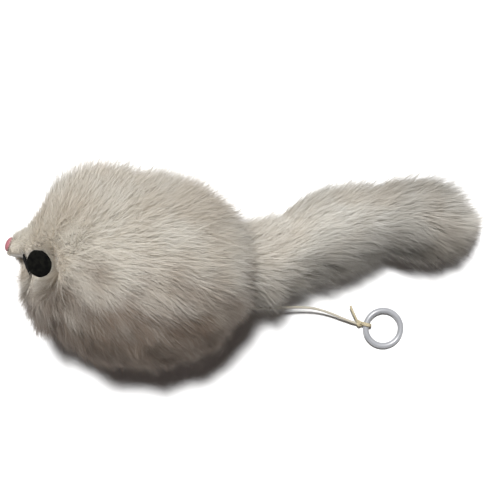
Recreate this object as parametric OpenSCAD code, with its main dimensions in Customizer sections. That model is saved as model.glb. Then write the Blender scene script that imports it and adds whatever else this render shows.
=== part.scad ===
// Furry pull-cord mouse: a stuffed fur ball with a fur tail, around a sprung cord drum
// that spins an off-centre weight. It lies on its side on a table, nose towards -X.
// The origin is the middle of the flat patch that the body rests on, with +Z up.

/* [Fur body] */
// Width of the round fur body
body_w = 92; // [90:1:96]
// How much of the ball is pressed flat against the table
body_press = 12; // [10:0.5:13]
// Depth of the fur and hide around the stuffing
fur_depth = 16; // [14:0.5:16]
// Diameter of each round black eye
eye_d = 12; // [10:0.5:13]
// Diameter of the nose button
nose_d = 6.4; // [6:0.2:9]

/* [Fur tail] */
// Distance from the tail's root to its bend
tail_root_len = 38; // [36:1:42]
// Distance from the tail's bend to its tip
tail_tip_len = 60; // [56:1:64]
// Height of the tail's middle above the table, and so its greatest radius
tail_z = 17; // [16:0.5:18]

/* [Pull cord] */
// Diameter of the pull cord
cord_d = 1.2; // [1:0.1:1.2]
// Diameter of the pull ring over all
ring_d = 18.4; // [17:0.2:20]
// Thickness of the ring's round section
ring_thick = 2.6; // [2.2:0.1:2.8]

/* [Motor] */
// Inside radius of the motor case
case_in_r = 22; // [22:0.2:22.4]
// Thickness of the case's walls
case_wall = 1.6; // [1.4:0.1:1.8]
// Module of the gear teeth
tooth_module = 0.6; // [0.6:0.01:0.61]
// Teeth on the cord drum
drum_teeth = 40; // [39:1:40]
// Teeth on the idler's wheel
wheel_teeth = 36; // [35:1:36]

/* [Hidden] */
$fn = 48;

gap = 0.3;       // between soft solids on different bodies
run_fit = 0.05;  // radial clearance of a shaft that turns
press_fit = 0.01;

fur_color = [0.86, 0.84, 0.80];
hide_color = [0.80, 0.72, 0.62];
fill_color = [0.95, 0.95, 0.93];
thread_color = [0.92, 0.90, 0.84];
eye_color = [0.03, 0.03, 0.03];
nose_color = [0.80, 0.30, 0.36];
case_color = [0.86, 0.86, 0.84];
gear_color = [0.93, 0.92, 0.88];
steel_color = [0.62, 0.63, 0.65];
brass_color = [0.80, 0.64, 0.32];
ring_color = [0.76, 0.77, 0.79];

// Body
body_r = body_w / 2;
body_z = body_r - body_press;
hide_r = body_r - fur_depth;
fill_r = hide_r - 0.8;

// Head: the nose's tip, and how the muzzle is turned and tilted
nose_tip = [-56, 13.6, 40];
head_turn = 159;
head_lift = 6;
muzzle_len = 22;
muzzle_tip_r = 4.6;
muzzle_root_r = 25;
nose_thick = 2.2;
stem_r = 1.3;
stem_len = 4.5;
eye_thick = 1.2;
eye_room = 30;  // how far an eye's pocket opens through the fur
// middle of each eye, and the turn and tilt of the way that it faces
right_eye_at = [-40.5, 4.8, 50.6];
right_eye_turn = 215;
right_eye_tilt = 24;
left_eye_at = [-47.7, 4.6, 40];
left_eye_turn = 200;
left_eye_tilt = 77;

// Motor case, with heights above the inside of its floor
case_h = 20;
case_split = 10;
case_out_r = case_in_r + case_wall;
case_floor_z = body_z - case_h / 2;
boss_ring_r = case_in_r - 2.7;
boss_angles = [-23, 75, 195];
boss_r = 2.2;
screw_r = 0.9;
screw_reach = 6.5;
screw_head_r = 1.8;
screw_head_sink = 1.3;
screw_slot_w = 0.5;
screw_slot_depth = 0.6;
bearing_depth = 1.2;
axle_z = [0.1 - bearing_depth, case_h + bearing_depth - 0.1];

// Gear train
drum_pinion_teeth = 10;
rotor_teeth = 12;
pressure_angle = 20;
wheel_addendum = 0.6;
pinion_addendum = 1;
dedendum = 1.25;
backlash = 0.09;
idler_angle = 40;
rotor_angle = 162;
drum_at = [-2, -6];
idler_reach = tooth_module * (drum_teeth + drum_pinion_teeth) / 2;
rotor_reach = tooth_module * (wheel_teeth + rotor_teeth) / 2;
idler_at = drum_at + idler_reach * [cos(idler_angle), sin(idler_angle)];
rotor_at = idler_at + rotor_reach * [cos(rotor_angle), sin(rotor_angle)];
arbor_r = 1.25;
pin_r = 0.75;
washer_r = 3;
spacer_r = 1.8;

// Cord drum, with heights above the inside of the case's floor
flange_r = 10.2;
drum_base_z = 0.6;
winding_base_z = 1.6;
winding_top_z = 9;
gear_top_z = 11;
winding_r = 8;                     // middle of the wound cord
barrel_r = winding_r - cord_d / 2;
barrel_in_r = barrel_r - 1;
lid_r = barrel_in_r + 0.5;
lid_thick = 1;
spring_in_r = 1.7;
spring_out_r = barrel_in_r - 0.4;
spring_turns = 6;
spring_steps = 20;                 // points in a turn
spring_thick = 0.28;

// Idler and rotor
idler_pinion_z = [8.7, 11.4];
idler_wheel_z = [11.6, 13.2];
rotor_pinion_z = [11.4, 13.4];
weight_z = [13.9, 18.9];
weight_r = 9;
weight_hub_r = 2.4;
idler_hub_r = 2.6;
idler_boss_r = 2;

// Pull cord: from the drum to the way out of the fur, and on to the knot
cord_line_y = drum_at[1] - winding_r;
cord_line_z = case_floor_z + 3;
cord_exit = [49, -15, 14];
inner_route = [
    [3, cord_line_y, cord_line_z],
    [12, cord_line_y, cord_line_z],
    [21.5, cord_line_y, cord_line_z],
    [25, -14.1, 26.2],
    [31, -14.3, 23.2],
    [37, -14.5, 20.1],
    [43, -14.8, 17.1],
    cord_exit
];
free_route = [
    cord_exit,
    [52.5, -15, 12.5],
    [56, -15, 11.4],
    [60, -14.9, 10.4],
    [64, -14.8, 9.5],
    [68, -14.8, 8.6],
    [72, -15, 7.7],
    [75.5, -15.5, 6.9],
    [79, -16.4, 6],
    [82, -17.4, 5.2],
    [85, -18.6, 4.5],
    [88, -19.9, 3.9],
    [91, -21.1, 3.3],
    [93.5, -22, 2.9],
    [95.4, -22.6, 2.7]
];
loose_route = [
    [95.2, -22.2, 2.9],
    [94.4, -20.6, 3.6],
    [93.4, -18.5, 4.2],
    [92.4, -16.3, 4.1],
    [91.7, -14.4, 3.6]
];
cord_sides = 8;
bush_x = [16.4, 20.7];
bush_r = 1.65;
bush_flange_r = 2.4;
bush_flange_thick = 0.6;

// Pull ring, tilted over the loop of cord that holds it
ring_mid_r = (ring_d - ring_thick) / 2;
ring_turn = 171;
loop_r = ring_thick / 2 + 0.06 + cord_d / 2;
loop_drop = loop_r + cord_d / 2;
ring_tilt = asin((loop_drop - ring_thick / 2) / (2 * ring_mid_r));
ring_at = [106.5, -24.4, (loop_drop + ring_thick / 2) / 2];
knot_r = 1.5;

// Tail: two lengths of fur around a soft core, each turned about the hinge at its start
tail_root_at = [55, 11.5, tail_z];
tail_root_turn = 15;
tail_tip_turn = 3;
tail_bend_at = tail_root_at
    + tail_root_len * [cos(tail_root_turn), sin(tail_root_turn), 0];
root_ball_r = 11;
bend_ball_r = 9;
tail_bend_max = 35;
bend_set_back = (bend_ball_r + gap + 0.1) * sin(tail_bend_max);
core_r = 4;
core_tip_len = 26;
tape_thick = 1;
tape_w = 8;
tape_len = [-30, 7];

// The round end that each length of tail turns on, from an angle off its axis to its middle
function ball_end(r, from) = [for (a = [from : 15 : 90]) [-r * cos(a), r * sin(a)]];

// Each tail outline is [distance from the hinge, radius]
root_outline = concat(ball_end(root_ball_r, 0), [
    [8, 12.8],
    [17, 14.3],
    [26, 14.3],
    [tail_root_len - bend_set_back, 12.4],
    [tail_root_len - bend_set_back, 0]
]);
// the tip is hollow for the core, with a mouth wide enough for the core's turn
tip_outline = concat(ball_end(bend_ball_r, 45), [
    [4, 12],
    [9, 14.2],
    [16, tail_z - 1.3],
    [27, tail_z],
    [38, tail_z - 0.4],
    [46, 14.6],
    [52, 11.6],
    [56.5, 7.6],
    [tail_tip_len - 1, 3.6],
    [tail_tip_len, 0],
    [core_tip_len + gap, 0],
    [core_tip_len + gap, core_r + gap],
    [0, core_r + gap]
]);

// ---- helpers ----

// Z from low to high, as a cylinder
module disc(r, z) {
    translate([0, 0, z[0]]) cylinder(r = r, h = z[1] - z[0]);
}

module at_xy(p) {
    translate([p[0], p[1], 0]) children();
}

module in_motor() {
    translate([0, 0, case_floor_z]) children();
}

// Turns +Z to face along a heading and a tilt from the vertical
module facing(at, turn, tilt) {
    translate(at) rotate([0, 0, turn]) rotate([0, tilt, 0]) children();
}

module at_nose() {
    facing(nose_tip, head_turn, 90 - head_lift) children();
}

// A turned shape along +X, from its outline
module turned(outline) {
    rotate([0, 90, 0]) rotate_extrude() polygon([for (p = outline) [p[1], p[0]]]);
}

function unit(v) = v / norm(v);

// The direction of a route at one of its points
function heading(route, i) =
    unit(route[min(i + 1, len(route) - 1)] - route[max(i - 1, 0)]);

// One ring of points round a route
function ring_points(route, i, r) =
    let (along = heading(route, i))
    let (side = unit(cross(along, [0, 0, 1])))
    let (up = cross(side, along))
    [for (k = [0 : cord_sides - 1])
        route[i] + r * (cos(360 * k / cord_sides) * side + sin(360 * k / cord_sides) * up)];

module cord(route) {
    last = len(route) - 1;
    points = [for (i = [0 : last]) each ring_points(route, i, cord_d / 2)];
    sides = [for (i = [0 : last - 1], k = [0 : cord_sides - 1])
        let (next = (k + 1) % cord_sides, a = i * cord_sides, b = a + cord_sides)
        [a + k, b + k, b + next, a + next]];
    start = [for (k = [0 : cord_sides - 1]) k];
    end = [for (k = [cord_sides - 1 : -1 : 0]) last * cord_sides + k];
    polyhedron(points, concat(sides, [start, end]), convexity = 6);
}

function involute(a) = tan(a) * 180 / PI - a;

// Half the angle that a tooth takes up at radius r
function half_tooth(r, base_r, pitch_r, teeth) =
    90 / teeth - backlash / 2 / pitch_r * 180 / PI + involute(pressure_angle)
    - (r > base_r ? involute(acos(base_r / r)) : 0);

module gear(teeth, addendum, z, turn = 0) {
    pitch_r = tooth_module * teeth / 2;
    base_r = pitch_r * cos(pressure_angle);
    root_r = pitch_r - dedendum * tooth_module;
    tip_r = pitch_r + addendum * tooth_module;
    start_r = max(base_r, root_r + 0.05);
    flank = [root_r, start_r, (start_r + tip_r) / 2, tip_r];
    outline = [for (t = [0 : teeth - 1], s = [-1, 1], i = [0 : 3])
        let (r = flank[s < 0 ? i : 3 - i])
        let (a = t * 360 / teeth + s * half_tooth(r, base_r, pitch_r, teeth))
        r * [cos(a), sin(a)]];
    translate([0, 0, z[0]]) rotate([0, 0, turn])
        linear_extrude(height = z[1] - z[0]) polygon(outline);
}

// ---- fur body ----

module body_form() {
    intersection() {
        union() {
            translate([0, 0, body_z]) sphere(r = body_r, $fn = 96);
            at_nose() translate([0, 0, -muzzle_len - nose_thick])
                cylinder(r1 = muzzle_root_r, r2 = muzzle_tip_r, h = muzzle_len, $fn = 96);
        }
        translate([-body_w, -body_w, 0]) cube(2 * body_w);
    }
}

module eye_pocket(at, turn, tilt) {
    facing(at, turn, tilt) translate([0, 0, -eye_thick - 0.05])
        cylinder(r = eye_d / 2 + 0.1, h = eye_room);
}

module cord_way() {
    way = cord_exit - inner_route[2];
    translate(inner_route[2]) rotate([0, 0, atan2(way[1], way[0])])
        rotate([0, acos(way[2] / norm(way)), 0])
            cylinder(r = cord_d / 2 + 1, h = norm(way) + 20);
}

module tape_slot() {
    translate(tail_root_at) rotate([0, 0, tail_root_turn])
        translate([tape_len[0] - gap, -tape_thick / 2 - gap, -tape_w / 2 - gap])
            cube([tape_len[1] - tape_len[0] + 2 * gap, tape_thick + 2 * gap, tape_w + 2 * gap]);
}

module fur_cover() {
    color(fur_color) difference() {
        body_form();
        translate([0, 0, body_z]) sphere(r = hide_r, $fn = 96);
        at_nose() translate([0, 0, -nose_thick - stem_len - 0.2])
            cylinder(r = stem_r + run_fit, h = stem_len + 10);
        eye_pocket(right_eye_at, right_eye_turn, right_eye_tilt);
        eye_pocket(left_eye_at, left_eye_turn, left_eye_tilt);
        cord_way();
        tape_slot();
    }
}

module pelt_stitches() {
    stitch_count = 24;
    stitch_step = 360 / stitch_count;
    stitch_share = 0.6;
    stitch_r = 0.3;
    color(thread_color) translate([0, 0, body_z]) rotate([90, 0, 20])
        for (k = [0 : stitch_count - 1]) rotate([0, 0, k * stitch_step])
            rotate_extrude(angle = stitch_step * stitch_share)
                translate([hide_r - stitch_r - 0.1, 0]) circle(r = stitch_r, $fn = 16);
}

module stuffing() {
    color(fill_color) difference() {
        translate([0, 0, body_z]) sphere(r = fill_r, $fn = 96);
        in_motor() disc(case_out_r + gap, [-case_wall - gap, case_h + case_wall + gap]);
        cord_way();
        translate([bush_x[0], cord_line_y, cord_line_z]) rotate([0, 90, 0])
            cylinder(r = bush_flange_r + 0.2, h = 8);
    }
}

module nose() {
    color(nose_color) at_nose() {
        translate([0, 0, -nose_thick]) rotate_extrude() polygon([
            [0, 0], [nose_d / 2 - 0.4, 0], [nose_d / 2, 0.5], [nose_d / 2 - 0.2, 1.1],
            [nose_d / 2 - 1, 1.7], [nose_d / 2 - 2.2, nose_thick - 0.1], [0, nose_thick]
        ]);
        translate([0, 0, -nose_thick - stem_len]) cylinder(r = stem_r, h = stem_len + 0.1);
    }
}

module eye(at, turn, tilt) {
    color(eye_color) facing(at, turn, tilt) translate([0, 0, -eye_thick])
        rotate_extrude() polygon([
            [0, 0], [eye_d / 2 - 0.2, 0], [eye_d / 2, 0.2], [eye_d / 2, 0.8],
            [eye_d / 2 - 0.4, eye_thick], [0, eye_thick]
        ]);
}

module right_eye() {
    eye(right_eye_at, right_eye_turn, right_eye_tilt);
}

module left_eye() {
    eye(left_eye_at, left_eye_turn, left_eye_tilt);
}

// ---- motor case ----

module at_bosses() {
    for (a = boss_angles) rotate([0, 0, a]) translate([boss_ring_r, 0, 0]) children();
}

module bearings(z) {
    at_xy(drum_at) disc(arbor_r + press_fit, z);
    at_xy(idler_at) disc(pin_r + press_fit, z);
    at_xy(rotor_at) disc(pin_r + run_fit, z);
}

module lower_case() {
    color(case_color) in_motor() difference() {
        union() {
            difference() {
                disc(case_out_r, [-case_wall, case_split]);
                disc(case_in_r, [0, case_split + 1]);
            }
            at_bosses() disc(boss_r, [0, case_split]);
        }
        at_bosses() disc(screw_r + press_fit, [case_split - screw_reach - 0.5, case_split + 1]);
        bearings([-bearing_depth, 1]);
        translate([bush_x[0] - 2, cord_line_y, cord_line_z - case_floor_z])
            rotate([0, 90, 0]) cylinder(r = bush_r + press_fit, h = 10);
    }
}

module upper_case() {
    top = case_h + case_wall;
    color(case_color) in_motor() difference() {
        union() {
            difference() {
                disc(case_out_r, [case_split, top]);
                disc(case_in_r, [case_split - 1, case_h]);
            }
            at_bosses() disc(boss_r, [case_split, case_h]);
        }
        at_bosses() {
            disc(screw_r + 0.1, [case_split - 1, top + 1]);
            disc(screw_head_r + 0.2, [top - screw_head_sink, top + 1]);
        }
        bearings([case_h - 1, case_h + bearing_depth]);
    }
}

module case_screws() {
    top = case_h + case_wall;
    head_top = top - 0.2;
    color(steel_color) in_motor() at_bosses() difference() {
        union() {
            disc(screw_r, [case_split - screw_reach, top - 1]);
            disc(screw_head_r, [top - screw_head_sink, head_top]);
        }
        for (turn = [0, 90]) rotate([0, 0, turn])
            translate([-screw_head_r, -screw_slot_w / 2, head_top - screw_slot_depth])
                cube([2 * screw_head_r, screw_slot_w, 1]);
    }
}

module drum_arbor() {
    color(steel_color) in_motor() at_xy(drum_at) disc(arbor_r, axle_z);
}

module drum_washer() {
    color(steel_color) in_motor() at_xy(drum_at) difference() {
        disc(washer_r, [0.1, drum_base_z - 0.1]);
        disc(arbor_r + run_fit, [-1, 2]);
    }
}

module idler_pin() {
    color(steel_color) in_motor() at_xy(idler_at) disc(pin_r, axle_z);
}

module idler_spacer() {
    color(gear_color) in_motor() at_xy(idler_at) difference() {
        disc(spacer_r, [0.1, idler_pinion_z[0] - 0.1]);
        disc(pin_r + run_fit, [-1, idler_pinion_z[0] + 1]);
    }
}

module cord_bush() {
    color(brass_color) translate([0, cord_line_y, cord_line_z]) rotate([0, 90, 0])
        difference() {
            union() {
                disc(bush_r, bush_x);
                disc(bush_flange_r, [bush_x[1] - 0.02, bush_x[1] + bush_flange_thick]);
            }
            disc(cord_d / 2 + 0.3, [bush_x[0] - 1, bush_x[1] + 2]);
        }
}

// ---- cord drum, with its mainspring ----

module cord_drum() {
    color(gear_color) in_motor() at_xy(drum_at) difference() {
        union() {
            disc(flange_r, [drum_base_z, winding_base_z]);
            disc(barrel_r, [drum_base_z, gear_top_z]);
            gear(drum_teeth, wheel_addendum, [winding_top_z, gear_top_z], idler_angle);
        }
        disc(barrel_in_r, [winding_base_z, gear_top_z + 1]);
        disc(lid_r, [gear_top_z - lid_thick, gear_top_z + 1]);
        disc(arbor_r + run_fit, [-1, gear_top_z]);
    }
}

module drum_lid() {
    color(case_color) in_motor() at_xy(drum_at) difference() {
        disc(lid_r - press_fit, [gear_top_z - lid_thick, gear_top_z]);
        disc(arbor_r + run_fit, [-1, gear_top_z + 1]);
    }
}

module mainspring() {
    steps = spring_steps * spring_turns;
    turn = 360 / spring_steps;
    mid = [for (i = [0 : steps])
        spring_in_r + (spring_out_r - spring_in_r) * i / steps];
    outer = [for (i = [0 : steps])
        (mid[i] + spring_thick / 2) * [cos(turn * i), sin(turn * i)]];
    inner = [for (i = [steps : -1 : 0])
        (mid[i] - spring_thick / 2) * [cos(turn * i), sin(turn * i)]];
    color(steel_color) in_motor() at_xy(drum_at) translate([0, 0, winding_base_z + 0.3])
        linear_extrude(height = gear_top_z - lid_thick - winding_base_z - 0.6)
            polygon(concat(outer, inner));
}

module cord_winding() {
    color(thread_color) in_motor() at_xy(drum_at) difference() {
        disc(winding_r + cord_d / 2, [winding_base_z + 0.1, winding_top_z - 0.1]);
        disc(barrel_r + 0.02, [0, gear_top_z]);
    }
}

// ---- idler and rotor ----

module idler_gear() {
    color(gear_color) in_motor() at_xy(idler_at) difference() {
        union() {
            gear(drum_pinion_teeth, pinion_addendum, idler_pinion_z,
                idler_angle + 180 + 180 / drum_pinion_teeth);
            disc(idler_hub_r, [idler_pinion_z[1] - 0.2, idler_wheel_z[0] + 0.2]);
            gear(wheel_teeth, wheel_addendum, idler_wheel_z, rotor_angle);
            disc(idler_boss_r, [idler_wheel_z[0], idler_wheel_z[1] + 0.4]);
        }
        disc(pin_r + run_fit, [0, case_h]);
    }
}

module rotor_shaft() {
    color(steel_color) in_motor() at_xy(rotor_at) disc(pin_r, axle_z);
}

module rotor_pinion() {
    color(gear_color) in_motor() at_xy(rotor_at) difference() {
        gear(rotor_teeth, pinion_addendum, rotor_pinion_z,
            rotor_angle + 180 + 180 / rotor_teeth);
        disc(pin_r + press_fit, [0, case_h]);
    }
}

module eccentric_weight() {
    height = weight_z[1] - weight_z[0];
    color(brass_color) in_motor() at_xy(rotor_at) difference() {
        union() {
            translate([0, 0, weight_z[0]]) rotate_extrude(angle = 180)
                square([weight_r, height]);
            disc(weight_hub_r, weight_z);
        }
        disc(pin_r + press_fit, [0, case_h]);
    }
}

// ---- pull cord and ring ----

module inner_cord() {
    color(thread_color) cord(inner_route);
}

module pull_cord() {
    color(thread_color) cord(free_route);
}

module cord_loose_end() {
    color(thread_color) cord(loose_route);
}

module at_ring() {
    translate(ring_at) rotate([0, 0, ring_turn]) rotate([0, -ring_tilt, 0]) children();
}

module cord_knot() {
    color(thread_color) at_ring() {
        translate([ring_mid_r, 0, 0]) rotate([90, 0, 0]) rotate_extrude()
            translate([loop_r, 0]) circle(r = cord_d / 2);
        translate([ring_mid_r + loop_r + cord_d / 2 + knot_r / 2, 0, 0]) sphere(r = knot_r);
    }
}

module pull_ring() {
    color(ring_color) at_ring() rotate_extrude($fn = 72)
        translate([ring_mid_r, 0]) circle(r = ring_thick / 2);
}

// ---- tail ----

module at_tail_root() {
    translate(tail_root_at) rotate([0, 0, tail_root_turn]) children();
}

module at_tail_bend() {
    translate(tail_bend_at) rotate([0, 0, tail_tip_turn]) children();
}

module tail_tape() {
    color(hide_color) at_tail_root()
        translate([tape_len[0], -tape_thick / 2, -tape_w / 2])
            cube([tape_len[1] - tape_len[0], tape_thick, tape_w]);
}

module core_form(r) {
    at_tail_root() translate([tape_len[1] + 1 - r + core_r, 0, 0]) rotate([0, 90, 0])
        cylinder(r = r, h = tail_root_len - tape_len[1] - 1);
    translate(tail_bend_at) sphere(r = r);
    at_tail_bend() rotate([0, 90, 0]) cylinder(r = r, h = core_tip_len + r - core_r);
}

module tail_core() {
    color(hide_color) core_form(core_r);
}

module tail_fur_root() {
    color(fur_color) difference() {
        at_tail_root() turned(root_outline);
        translate(tail_bend_at) sphere(r = bend_ball_r + gap + 0.1);
        core_form(core_r + gap);
        tape_slot();
    }
}

module tail_fur_tip() {
    color(fur_color) at_tail_bend() turned(tip_outline);
}

fur_cover();
pelt_stitches();
stuffing();
nose();
right_eye();
left_eye();
lower_case();
upper_case();
case_screws();
drum_arbor();
drum_washer();
idler_pin();
idler_spacer();
cord_bush();
inner_cord();
tail_tape();
cord_drum();
drum_lid();
mainspring();
cord_winding();
idler_gear();
rotor_shaft();
rotor_pinion();
eccentric_weight();
pull_cord();
cord_knot();
cord_loose_end();
pull_ring();
tail_fur_root();
tail_core();
tail_fur_tip();
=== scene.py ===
"""A furry pull-cord mouse: a stuffed ball of fur with a fur tail, a cord and a pull ring.

Shapes are worked out in millimetres and turned into metres as each mesh is made.
"""
import math

import bmesh
import bpy
import numpy as np
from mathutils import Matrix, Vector, noise
from mathutils.kdtree import KDTree


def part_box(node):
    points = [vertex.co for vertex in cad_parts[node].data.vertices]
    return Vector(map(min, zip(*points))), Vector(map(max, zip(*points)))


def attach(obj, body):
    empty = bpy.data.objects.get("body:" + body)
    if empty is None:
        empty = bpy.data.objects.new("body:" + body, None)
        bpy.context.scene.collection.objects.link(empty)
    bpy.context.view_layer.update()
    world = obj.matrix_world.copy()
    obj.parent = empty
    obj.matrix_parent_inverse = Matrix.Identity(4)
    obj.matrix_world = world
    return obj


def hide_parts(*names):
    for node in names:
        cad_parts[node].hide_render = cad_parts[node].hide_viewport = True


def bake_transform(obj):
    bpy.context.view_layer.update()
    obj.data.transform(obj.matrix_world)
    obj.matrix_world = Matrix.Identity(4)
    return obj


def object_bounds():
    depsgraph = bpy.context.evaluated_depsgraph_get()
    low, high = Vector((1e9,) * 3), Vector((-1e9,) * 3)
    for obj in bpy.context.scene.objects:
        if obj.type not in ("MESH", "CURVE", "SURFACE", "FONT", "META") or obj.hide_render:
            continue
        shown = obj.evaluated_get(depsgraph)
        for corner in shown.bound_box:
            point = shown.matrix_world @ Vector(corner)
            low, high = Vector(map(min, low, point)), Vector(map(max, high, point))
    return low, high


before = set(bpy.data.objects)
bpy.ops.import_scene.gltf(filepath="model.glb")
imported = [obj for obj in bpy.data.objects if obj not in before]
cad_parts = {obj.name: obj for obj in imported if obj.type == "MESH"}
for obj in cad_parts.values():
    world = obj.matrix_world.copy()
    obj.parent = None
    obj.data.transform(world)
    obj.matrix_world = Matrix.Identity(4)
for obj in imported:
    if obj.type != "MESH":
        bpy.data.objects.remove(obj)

cad_low, cad_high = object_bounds()

MM = 0.001

# ---- sizes and places, in millimetres ----

# Camera: straight above the table
CAMERA_HEIGHT = 600
TABLE_IN_VIEW = 225.2
CAMERA_OFFSET = (-0.9, 10.6)      # from the middle of the object's box
SENSOR = 36
middle_x, middle_y, _ = (cad_low + cad_high) / 2 / MM
OVERHEAD = np.array([middle_x + CAMERA_OFFSET[0], middle_y + CAMERA_OFFSET[1], CAMERA_HEIGHT])

# Light
DAYLIGHT = 5.9
DAYLIGHT_SOFTNESS = 9             # width of the bright patch of sky, in degrees
DAYLIGHT_FROM = (-70, 310, 915)
ROOM_LIGHT = 0.065

# Floor
FLOOR_HALF = 2000
FLOOR_TOP = -0.2                  # just below the toy, so that the two don't flicker

# Pull cord, from the way out of the fur to the knot
CORD_D = 1.2
CORD_ROUTE = [
    (49, -15, 14), (52.5, -15, 12.5), (56, -15, 11.4), (60, -14.9, 10.4), (64, -14.8, 9.5),
    (68, -14.8, 8.6), (72, -15, 7.7), (75.5, -15.5, 6.9), (79, -16.4, 6), (82, -17.4, 5.2),
    (85, -18.6, 4.5), (88, -19.9, 3.9), (91, -21.1, 3.3), (93.5, -22, 2.9), (95.4, -22.6, 2.7),
]
LOOSE_ROUTE = [                   # beyond the knot
    (95.2, -22.2, 2.9), (94.4, -20.6, 3.6), (93.4, -18.5, 4.2), (92.4, -16.3, 4.1),
    (91.7, -14.4, 3.6),
]
CORD_STEP = 0.4                   # between the rings of a cord's tube
CORD_LAY = 3.2                    # length in which its three yarns go once round
RING_THICK = 2.6
CORD_SLACK = 0.02                 # between the ring and the cord tied to it
KNOT_GAP = 0.2                    # between the turns round the ring and the small knot
KNOT_THIRD = 0.34                 # a third of the small knot's radius
WRAP_HALF = 0.58                  # half the width of the two turns round the ring

# Eyes: thin discs, from face to back
EYE_R = 5.8
EYE_FACE = 0.76                   # height of the face above the disc's middle
EYE_BACK = 0.55                   # depth of the back below it
EYE_CRINKLE = 0.16
EYE_DEPTH = 12                    # hide and hair further than this from an eye's plane are not by it
EYE_OVERHANG = 6                  # hair this far in front of an eye may cross it
EYE_CLEAR_R = {"right_eye": 5.6, "left_eye": 5.4}              # kept free of hair
EYE_HOLLOW = {"right_eye": (15, 0.45), "left_eye": (14, 0)}    # reach and slope of the dip round it
EYE_SEAT = 0.9                    # the hide behind an eye, below the middle of its disc

# Body: the hide's ball and muzzle, under the fur
PRESS = 1.0                       # hide's height above the table where the ball is pressed flat
HIDE_LUMP = 0.5                   # height of the hide's soft lumps
BALL = np.array([0, 1.8, 34.0])   # middle of the ball
BALL_R = np.array([43, 34.8, 38.5])
SHOULDER = np.array([-21, 20, 35.0])
SHOULDER_R = 18.5
MUZZLE_LEN = 23
MUZZLE_TIP_R = 3.8
MUZZLE_ROOT_R = 22
MUZZLE_BLEND = 11
HEAD_TURN = math.radians(159)
HEAD_LIFT = math.radians(6)
HEADING = np.array([math.cos(HEAD_TURN) * math.cos(HEAD_LIFT),
                    math.sin(HEAD_TURN) * math.cos(HEAD_LIFT), math.sin(HEAD_LIFT)])
NOSE_TIP = np.array([-56, 13.6, 40.0])
NOSE_THICK = 2.2
NOSE_CLEAR = 1.4                  # how far behind the nose's tip the hair stops
MUZZLE_TIP = NOSE_TIP - HEADING * NOSE_THICK

# Tail: middle line and radius of the hide at each point
TAIL_LINE = [
    (38, 5, 28, 13.5), (46, 5.6, 24.5, 14), (54, 7.2, 20, 13.8), (62, 10.6, 17.2, 12.2),
    (68, 14, 16.8, 13.6), (76, 17.6, 16.6, 14.2), (83, 20.2, 16.4, 13.6), (90, 22.4, 16, 12),
    (97, 23.4, 16, 10.6), (104, 24.4, 16.4, 12), (111, 24.6, 17, 12.8), (118, 24.3, 17, 13),
    (123, 23.2, 16.8, 12.3), (128, 22.4, 16.4, 10.2), (132, 21.8, 16, 7.8), (136, 21.6, 15.7, 5.4),
    (139.5, 21.7, 15.5, 3.2), (142, 21.9, 15.3, 1.5), (143, 22, 15.2, 0.5),
]
TAIL_STATIONS = 150
TAIL_SPLIT = 74                   # where the two lengths of the tail's hide meet
TAIL_LAP = 0.8                    # how far each goes past that
TAIL_CORE_LINE = [(62.6, 13.5, 17), (77, 17, 17), (91.5, 20.6, 17), (104.5, 21.7, 17),
                  (117.4, 22.6, 17)]

# Fur
BODY_HAIRS = 160000
TAIL_ROOT_HAIRS = 20000
TAIL_TIP_HAIRS = 38000
HAIR_W = 0.14
HAIR_POINTS = 4                   # along a hair
MUZZLE_HAIR = 3.6                 # length of the hair at the nose
BODY_HAIR_GAIN = 10.5             # how much longer it has grown on the ball
TAIL_HAIR = 15
TAIL_TIP_CUT = 7                  # how much shorter it is at the tail's tip
TAIL_NECK_CUT = 4                 # and where the tail leaves the ball
FACE_FUR = (30, 2.2)              # reach from the nose, and how much denser the hair is there
FLAT_FUR = (3, 0.25)              # height of the pressed underside, and how much sparser it is
MUZZLE_FUR = 32                   # reach of the muzzle's fur from the nose
BACK_FUR = 52                     # the fur above this height is the back's
BELLY_FUR = 22                    # and below this one the belly's

SEED = 20
rng = np.random.default_rng(SEED)
noise.seed_set(SEED)


# ---- numbers ----

def box_mm(node):
    """A node's low and high corners."""
    low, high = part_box(node)
    return np.array(low) / MM, np.array(high) / MM


def unit(v):
    return v / np.maximum(np.linalg.norm(v, axis=-1, keepdims=True), 1e-9)


def dot(a, b):
    return (a * b).sum(-1, keepdims=True)


def fade(x, start, end):
    """Goes smoothly from 0 at start to 1 at end."""
    t = np.clip((x - start) / (end - start), 0, 1)
    return t * t * (3 - 2 * t)


def smooth_route(points, step):
    """Points a step apart on a smooth curve through these ones."""
    p = np.array(points, float)
    p = np.vstack([2 * p[0] - p[1], p, 2 * p[-1] - p[-2]])
    out = []
    for a, b, c, d in zip(p, p[1:], p[2:], p[3:]):
        count = max(2, round(np.linalg.norm(c - b) / step))
        for t in np.arange(count) / count:
            out.append(0.5 * (2 * b + (c - a) * t + (2 * a - 5 * b + 4 * c - d) * t ** 2
                              + (3 * b - a - 3 * c + d) * t ** 3))
    out.append(p[-2])
    return np.array(out)


def distances(points):
    """How far along a route each of its points is."""
    return np.concatenate([[0], np.cumsum(np.linalg.norm(np.diff(points, axis=0), axis=1))])


def frames_along(points):
    """The heading, side and up of a route at each of its points, with as little twist as can be."""
    along = unit(np.gradient(points, axis=0))
    side = unit(np.cross(along[0], (0, 0, 1)))
    sides = []
    for heading in along:
        side = unit(side - heading * (side @ heading))
        sides.append(side)
    sides = np.array(sides)
    return along, sides, np.cross(sides, along)


# ---- meshes ----

def link(name, mesh):
    """Puts a mesh in the scene as a piece."""
    made = bpy.data.objects.new(name, mesh)
    bpy.context.scene.collection.objects.link(made)
    return made


def mesh_object(name, points, faces):
    """A smooth mesh piece from points in millimetres."""
    mesh = bpy.data.meshes.new(name)
    mesh.from_pydata((np.asarray(points) * MM).tolist(), [], faces)
    mesh.update()
    mesh.polygons.foreach_set("use_smooth", [True] * len(mesh.polygons))
    return link(name, mesh)


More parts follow.
